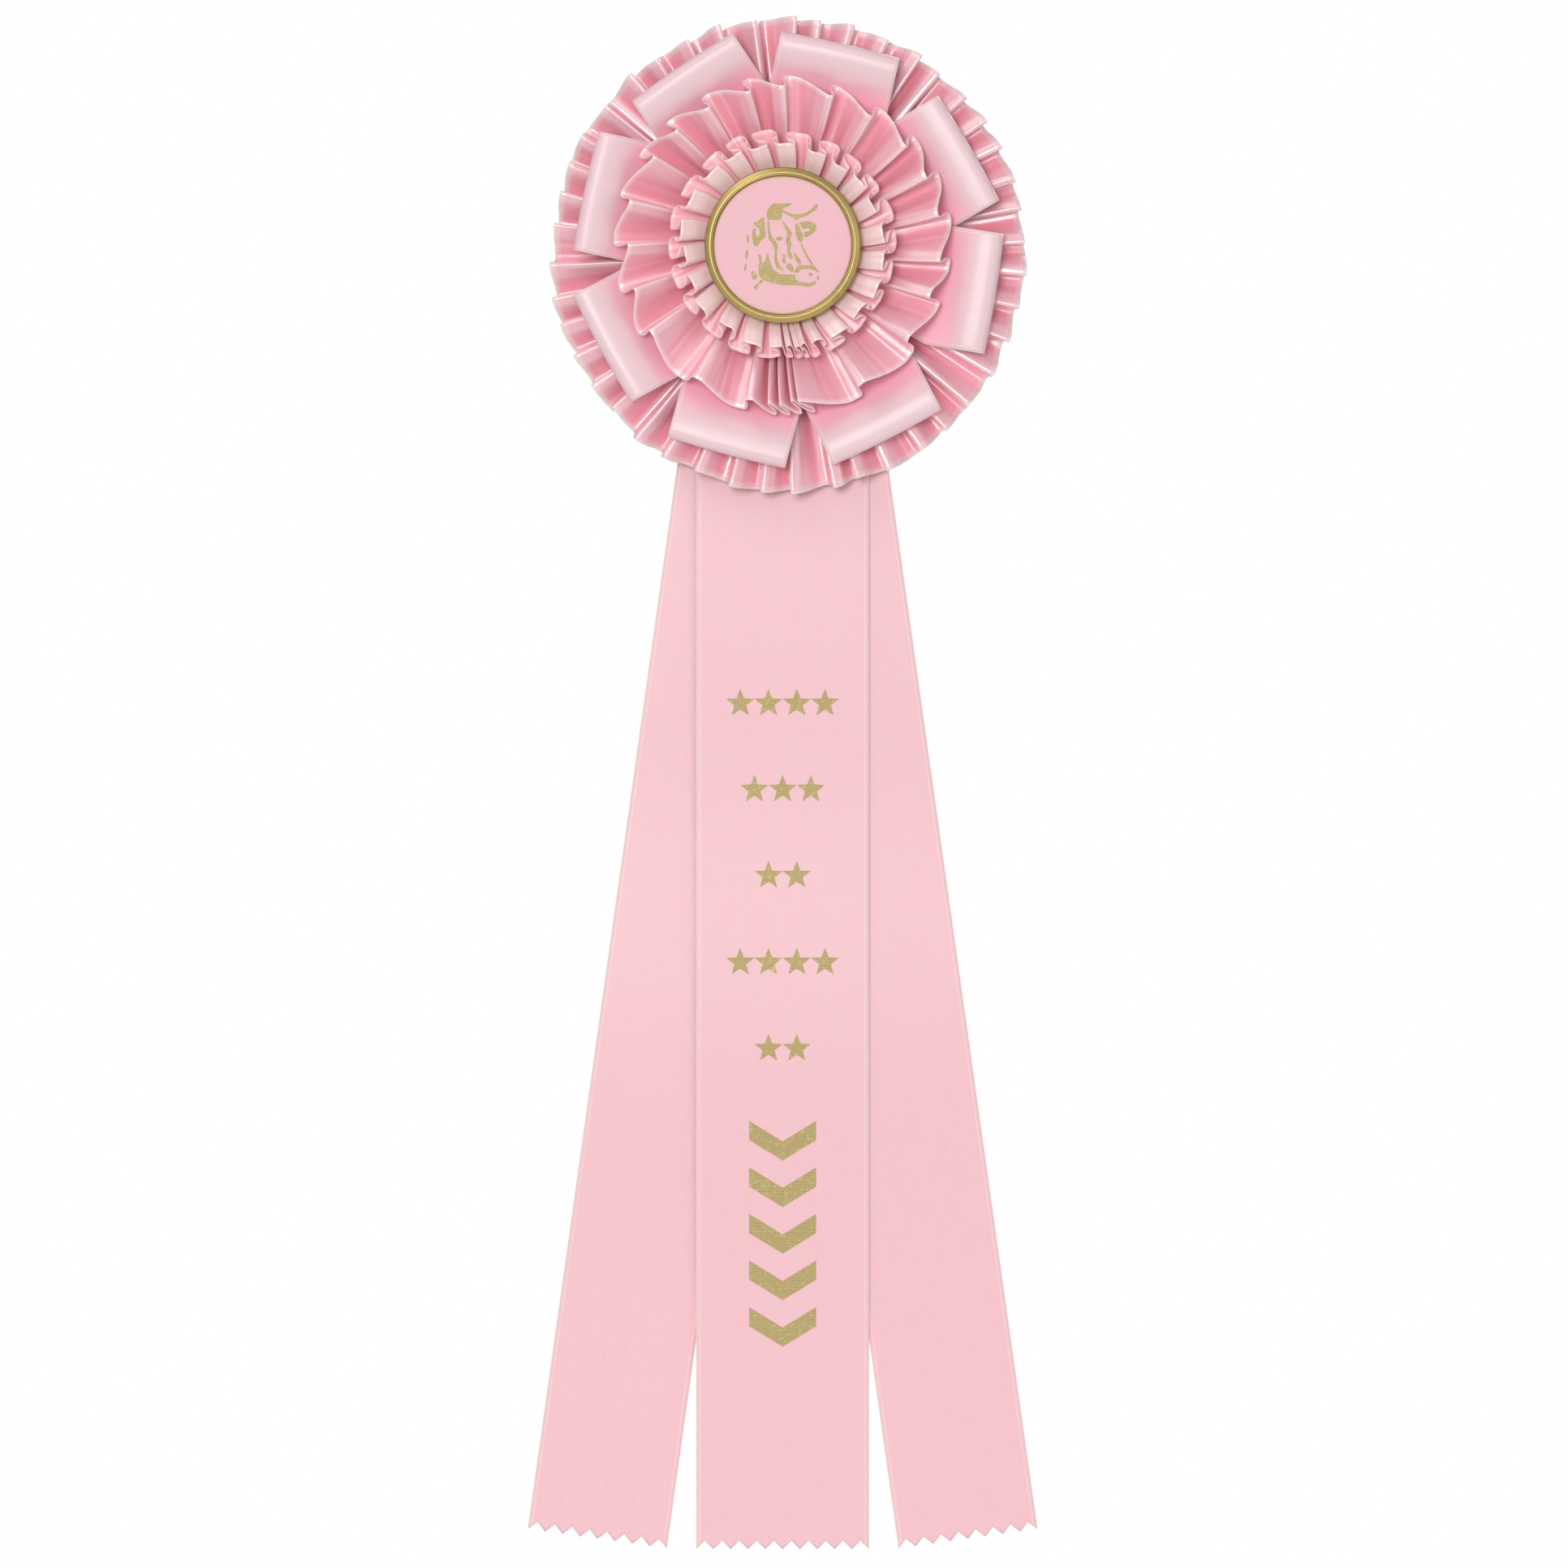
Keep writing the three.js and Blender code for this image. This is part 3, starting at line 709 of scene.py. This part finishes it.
# side, width, length below the button's axis, teeth, depth of the middle of the cloth, tilt, shift sideways
STREAMERS = [
    ("left", SIDE_WIDTH, SIDE_LENGTH, 8, 2.0, SIDE_TILT, -SIDE_SHIFT),
    ("right", SIDE_WIDTH, SIDE_LENGTH, 8, 2.7, -SIDE_TILT, SIDE_SHIFT),
    ("centre", CENTRE_WIDTH, 382.7, 10, CENTRE_DEPTH, 0.0, 0.0),
]


def drape(z):
    """How far forward the streamers bow as they hang, in mm. They lie on each other, so all share it."""
    below = smooth((HINGE - 10 - z) / 90)
    return below * (0.6 * np.sin((z + 85) / 34) + 0.25 * np.sin(z / 19 + 1))


def build_streamer(side, width, length, teeth, depth, tilt, shift):
    """A satin streamer from its stapled top to its pinked end."""
    across = np.linspace(0, width, teeth * TOOTH_STEPS + 1)
    drop = TAB_TOP + length
    rows = np.concatenate([np.linspace(0, drop - PINKED, 150), np.linspace(drop - PINKED + 1, drop, 12)])
    tooth = np.abs(np.arange(len(across)) / TOOTH_STEPS % 1 * 2 - 1)  # 1 at a tip, 0 in a notch
    notch = TOOTH * (1 - tooth) * smooth((rows[:, None] - drop + PINKED) / PINKED)
    level = TAB_TOP - rows[:, None] + notch
    offset = across - width / 2 + shift
    x = offset * math.cos(tilt) + level * math.sin(tilt)
    z = -offset * math.sin(tilt) + level * math.cos(tilt)
    points = np.stack(np.broadcast_arrays(x, -(depth + drape(z)), z), axis=-1) * MM
    measured = across[None, :] * np.ones((len(rows), 1))
    along = rows[:, None] * np.ones(len(across))
    material = MATERIALS["centre" if side == "centre" else "side"]
    piece = cloth_piece(f"{side}_streamer_satin", points, along, measured, 0.0, material)
    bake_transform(piece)
    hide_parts(f"{side}_streamer", f"{side}_streamer_tab")


# ---------------------------------------------------------------- gold foil
STAR_HEIGHT = 7.8
# Middle height of each row of stars and how many it has, where the ribbon carries its five short lines.
STAR_ROWS = [(-133.8, 4), (-159.1, 3), (-184.4, 2), (-209.9, 4), (-235.2, 2)]
STAR_PITCH = 8.3
BAR_TOP = -256.9
BAR_BOTTOM = -323.2
BAR_HALF = 9.8
CHEVRONS = 5
CHEVRON_STROKE = 5.6
CHEVRON_FALL = 6.0
STAR_WAIST = 0.42  # a star's inner corners, as a share of its reach


def star(x, z, height):
    """A five-pointed star of that height standing on two points."""
    outer = height / (1 + math.cos(math.pi / 5))
    inner = outer * STAR_WAIST
    drop = z + height / 2 - outer
    turns = [math.pi * k / 5 for k in range(10)]
    reaches = [outer if k % 2 == 0 else inner for k in range(10)]
    return [(x + r * math.sin(a), drop + r * math.cos(a)) for a, r in zip(turns, reaches)]


def chevron(top):
    """A wide V that points down."""
    low = top - CHEVRON_STROKE
    return [
        (-BAR_HALF, top),
        (0, top - CHEVRON_FALL),
        (BAR_HALF, top),
        (BAR_HALF, low),
        (0, top - CHEVRON_FALL - CHEVRON_STROKE),
        (-BAR_HALF, low),
    ]


def build_streamer_foil():
    """Rows of stars and a column of chevrons, in place of the lettering."""
    shapes = []
    for level, count in STAR_ROWS:
        places = (np.arange(count) - (count - 1) / 2) * STAR_PITCH
        shapes += [star(x, level, STAR_HEIGHT) for x in places]
    step = (BAR_TOP - BAR_BOTTOM - CHEVRON_STROKE - CHEVRON_FALL) / (CHEVRONS - 1)
    shapes += [chevron(BAR_TOP - k * step) for k in range(CHEVRONS)]
    face = CENTRE_DEPTH + CLOTH / 2
    piece = foil_shapes("streamer_foil", shapes, lambda x, z: face + drape(z), MATERIALS["foil"])
    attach(piece, "centre_streamer")


# ---------------------------------------------------------------- button
EMBLEM_STEPS = 5  # points on each side of an outline
# A cow's head looking right, as patches of foil. Points are (x, z) in mm from the button's middle.
COW = {
    "poll_and_near_horn": [
        (-4.4, 7.6), (-4.6, 9.6), (-3.6, 11.4), (-2.4, 12.2), (-0.2, 12.1), (2.5, 12.3), (2.0, 11.5),
        (0.3, 10.9), (-0.2, 9.4), (-0.5, 7.7), (-1.8, 7.3), (-3.4, 7.5),
    ],
    "far_horn": [
        (0.2, 10.3), (1.6, 9.6), (3.4, 9.0), (5.4, 9.1), (7.2, 9.7), (8.6, 10.7), (9.5, 11.9), (10.4, 11.7),
        (9.9, 10.6), (8.6, 9.7), (7.0, 8.6), (5.2, 8.1), (3.8, 7.4), (3.0, 8.1), (1.4, 9.0), (0.1, 9.7),
    ],
    "far_ear_root": [(3.8, 6.3), (4.7, 5.6), (5.5, 4.0), (6.0, 2.2), (5.3, 0.8), (4.2, 2.0), (3.8, 4.0)],
    "far_ear": [
        (4.9, 6.6), (6.8, 6.9), (8.9, 6.6), (9.9, 5.4), (9.4, 4.0), (7.8, 2.8), (6.6, 2.2), (6.3, 3.4),
        (6.9, 4.0), (7.8, 4.1), (7.8, 4.9), (6.9, 5.0), (6.2, 4.6), (5.6, 5.4),
    ],
    "near_ear": [
        (-8.6, 6.3), (-7.0, 7.2), (-5.6, 8.2), (-5.3, 6.0), (-5.1, 4.0), (-4.9, 2.8), (-6.2, 1.4),
        (-7.6, -0.4), (-8.6, 0.6), (-8.9, 3.0), (-8.6, 4.8), (-7.9, 4.6), (-8.0, 3.4), (-7.4, 2.7),
        (-6.7, 3.4), (-6.8, 4.5), (-7.3, 5.2),
    ],
    "near_cheek": [
        (-4.5, 7.1), (-3.9, 6.6), (-3.7, 4.6), (-3.3, 2.6), (-1.7, 0.6), (-1.5, -1.2), (-1.7, -3.4),
        (-1.0, -5.6), (0.5, -7.6), (-1.4, -6.9), (-2.4, -4.6), (-2.3, -1.8), (-3.0, 0.2), (-4.0, 1.8),
        (-4.3, 4.2),
    ],
    "brow": [
        (-0.4, 7.1), (0.6, 6.4), (1.9, 4.8), (2.7, 3.4), (2.2, 1.8), (2.6, 0.2), (2.1, -1.6), (3.0, -3.4),
        (2.2, -4.1), (1.4, -2.4), (1.3, -0.4), (0.9, 1.4), (1.3, 3.2), (0.7, 5.0),
    ],
    "eye": [(-2.0, 2.1), (-1.2, 2.4), (-0.3, 2.4), (0.1, 1.8), (-0.8, 1.4), (-1.7, 1.5)],
    "bridge": [(5.3, 0.6), (5.9, -0.3), (8.2, -4.4), (9.0, -5.7), (8.4, -5.6), (7.5, -4.4), (5.7, -1.0)],
    "muzzle": [
        (3.5, -7.7), (4.2, -6.5), (5.0, -5.7), (6.8, -6.0), (8.9, -5.9), (10.8, -8.0), (9.0, -7.3),
        (7.0, -6.9), (5.3, -7.2), (4.4, -8.2),
    ],
    "far_cheek": [(3.2, -1.9), (4.0, -2.9), (5.4, -4.8), (4.6, -5.4), (3.6, -3.8)],
    "nostril": [(7.6, -8.2), (8.4, -8.1), (8.7, -8.8), (7.9, -9.0)],
    "lip": [(10.3, -8.9), (10.8, -9.2), (10.4, -10.3), (10.0, -10.0)],
    "freckle": [(1.2, -5.6), (2.2, -5.4), (3.2, -6.6), (2.9, -7.9), (2.0, -7.4), (1.2, -6.6)],
    "whorl": [(-0.4, -2.6), (0.3, -3.4), (-0.2, -4.4), (0.5, -5.4), (1.0, -4.6), (0.5, -3.9), (0.9, -3.0)],
    "jaw": [
        (-7.2, -2.8), (-6.3, -3.2), (-6.1, -5.2), (-5.0, -4.4), (-4.4, -2.2), (-3.9, -4.2), (-2.7, -7.0),
        (-0.7, -8.5), (1.9, -8.6), (3.5, -8.7), (3.9, -10.2), (6.0, -10.9), (8.3, -11.0), (9.7, -10.4),
        (9.3, -11.6), (7.6, -12.2), (4.6, -11.8), (1.0, -11.7), (-2.6, -11.2), (-5.3, -10.3), (-6.8, -9.0),
        (-7.0, -6.6), (-6.8, -4.6),
    ],
    "throat": [(-6.3, -10.1), (-5.7, -10.7), (-7.2, -11.8), (-7.6, -13.1), (-8.4, -12.2), (-7.4, -11.3)],
    "dewlap": [(-9.2, -8.0), (-8.3, -7.6), (-7.5, -9.0), (-8.4, -10.2), (-9.0, -9.2)],
    "neck_high": [(-10.3, 3.2), (-9.8, 2.2), (-10.1, 0.6), (-10.6, 1.6)],
    "neck_middle": [(-10.5, -1.2), (-10.1, -2.2), (-10.6, -4.2), (-10.9, -2.8)],
    "neck_low": [(-10.9, -5.4), (-10.5, -6.2), (-11.0, -7.6), (-11.3, -6.6)],
}


def rounded(outline):
    """A smooth closed curve through the outline's points."""
    ring = np.array(outline)
    spans = zip(*(np.roll(ring, -step, axis=0) for step in (-1, 0, 1, 2)))
    shares = np.arange(EMBLEM_STEPS) / EMBLEM_STEPS
    return [tuple(between(*span, t)) for span in spans for t in shares]


def build_button():
    rim = [
        (17.5, 27.5),
        (20.3, 27.5),
        (20.9, 26.4),
        (20.6, 23.2),
        (21.3, 23.2),
        (22.3, 24.0),
        (22.75, 25.8),
        *arc((22.3, 28.1), 0.6, 0, 70, 6),
        (22.0, 28.95),
        *arc((21.3, 28.7), 0.5, 75, 120, 4),
        *arc((20.75, 28.9), 0.42, 95, 180, 6),
        (20.25, 28.2),
        (17.5, 28.1),
    ]
    shell = turned("button_rim", rim, MATERIALS["brass"])
    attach(shell, "rosette")
    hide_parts("button_shell")
    face = [(0.01, 28.2), (19.9, 28.2), (20.05, 28.3), (20.05, 28.5), (19.95, 28.6), (0.01, 28.6)]
    disc = turned("button_face", face, MATERIALS["disc"])
    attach(disc, "rosette")
    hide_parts("button_insert")
    shapes = [rounded(outline) for outline in COW.values()]
    emblem = foil_shapes("button_emblem", shapes, lambda x, z: INSERT_FRONT, MATERIALS["foil"])
    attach(emblem, "rosette")


# ---------------------------------------------------------------- cards, staples and pin
STIFF_EDGE = math.radians(35)  # a stiff piece's surface turns by more than this at an edge
# What a stiff piece's name holds, its material and how far its edges are rounded, in mm. The first row
# that fits a name counts.
STIFF = [
    ("card", "card", 0.12),
    ("staple", "wire", 0.14),
    ("prong", "prongs", 0.12),
    ("pin_needle", "steel", 0.1),
    ("pin_rivet", "steel", 0.12),
    ("pin_catch", "steel", 0.09),
    ("pin_plate", "plate", 0.12),
]


def refine(node_name, body, finish, round_off):
    """Stands a piece with rounded edges and smooth sides in for a stiff CAD piece of the same shape."""
    mesh = frame["nodes"][node_name].data.copy()
    mesh.polygons.foreach_set("use_smooth", [True] * len(mesh.polygons))
    mesh.set_sharp_from_angle(angle=STIFF_EDGE)
    mesh.materials.clear()
    mesh.materials.append(MATERIALS[finish])
    piece = put_in_scene(f"{node_name}_finished", mesh)
    edges = piece.modifiers.new("edges", "BEVEL")
    edges.width = round_off * MM
    edges.segments = 2
    edges.limit_method = "ANGLE"
    edges.angle_limit = STIFF_EDGE
    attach(piece, body)
    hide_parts(node_name)


def build_stiff_pieces():
    for body, nodes in frame["record"]["behaviour"]["bodies"].items():
        for node_name in nodes:
            looks = [look for word, *look in STIFF if word in node_name]
            if looks:
                refine(node_name, body, *looks[0])


# ---------------------------------------------------------------- stage, lights and camera
VIEW_WIDTH = 0.4608  # what the picture's width spans at the object
VIEW_DISTANCE = 10.0
SENSOR = 36
WORLD_SEEN = 1.0  # strength of the white that the camera sees
WORLD_LIGHT = 0.48  # strength of the white that lights the object
VIEW_MIDDLE = Vector((0.0004, 0.0, -0.1579))
FLOOR_LEVEL = -0.46
FLOOR_RADIUS = 0.78


def build_stage():
    s = Shading("pale_floor")
    grain = s.noise(40.0, 3.0)
    tone = s.tint(grain, 0.3, colour(246, 246, 246), colour(240, 240, 240))
    pale = s.finish(tone, 0.85, Specular_IOR_Level=0.2)
    rim = FLOOR_RADIUS / MM
    floor = turned("floor", [(0.01, 0), (rim, 0), (rim, 2)], pale)
    floor.rotation_euler = (math.pi / 2, 0, 0)
    floor.location.z = FLOOR_LEVEL


def area_light(name, spot, target, size, power):
    data = bpy.data.lights.new(name, "AREA")
    data.size = size
    data.energy = power
    light = put_in_scene(name, data)
    light.location = spot
    light.rotation_euler = (Vector(target) - Vector(spot)).to_track_quat("-Z", "Y").to_euler()


def build_lights():
    middle = (0, 0, -0.1)
    area_light("key", (-0.4, -2.2, 0.25), middle, 0.6, 22.5)
    area_light("top", (-0.7, -0.9, 1.3), middle, 0.8, 5)
    area_light("fill", (1.3, -1.2, 0.1), middle, 1.2, 3)
    area_light("back", (0.9, 1.6, 0.7), middle, 1.2, 22)
    world = bpy.data.worlds.new("pale_room")
    bpy.context.scene.world = world
    world.use_nodes = True
    nodes, links = world.node_tree.nodes, world.node_tree.links
    seen = nodes["Background"]
    lit = nodes.new("ShaderNodeBackground")
    for background, strength in ((seen, WORLD_SEEN), (lit, WORLD_LIGHT)):
        background.inputs["Color"].default_value = (1, 1, 1, 1)
        background.inputs["Strength"].default_value = strength
    ray = nodes.new("ShaderNodeLightPath")
    choice = nodes.new("ShaderNodeMixShader")
    links.new(ray.outputs["Is Camera Ray"], choice.inputs[0])
    links.new(lit.outputs[0], choice.inputs[1])
    links.new(seen.outputs[0], choice.inputs[2])
    links.new(choice.outputs[0], nodes["World Output"].inputs["Surface"])


def build_camera():
    data = bpy.data.cameras.new("camera")
    data.sensor_width = SENSOR
    data.lens = SENSOR * VIEW_DISTANCE / VIEW_WIDTH
    camera = put_in_scene("camera", data)
    camera.location = VIEW_MIDDLE + Vector((0, -VIEW_DISTANCE, 0))
    camera.rotation_euler = (math.pi / 2, 0, 0)
    bpy.context.scene.camera = camera
    bpy.context.scene.view_settings.view_transform = "Standard"


build_camera()
build_lights()
build_stage()
build_stiff_pieces()
build_frills()
for number, (azimuth, reach, twist) in enumerate(LOOPS, 1):
    build_loop(number, azimuth, reach, twist)
for streamer in STREAMERS:
    build_streamer(*streamer)
build_streamer_foil()
build_button()
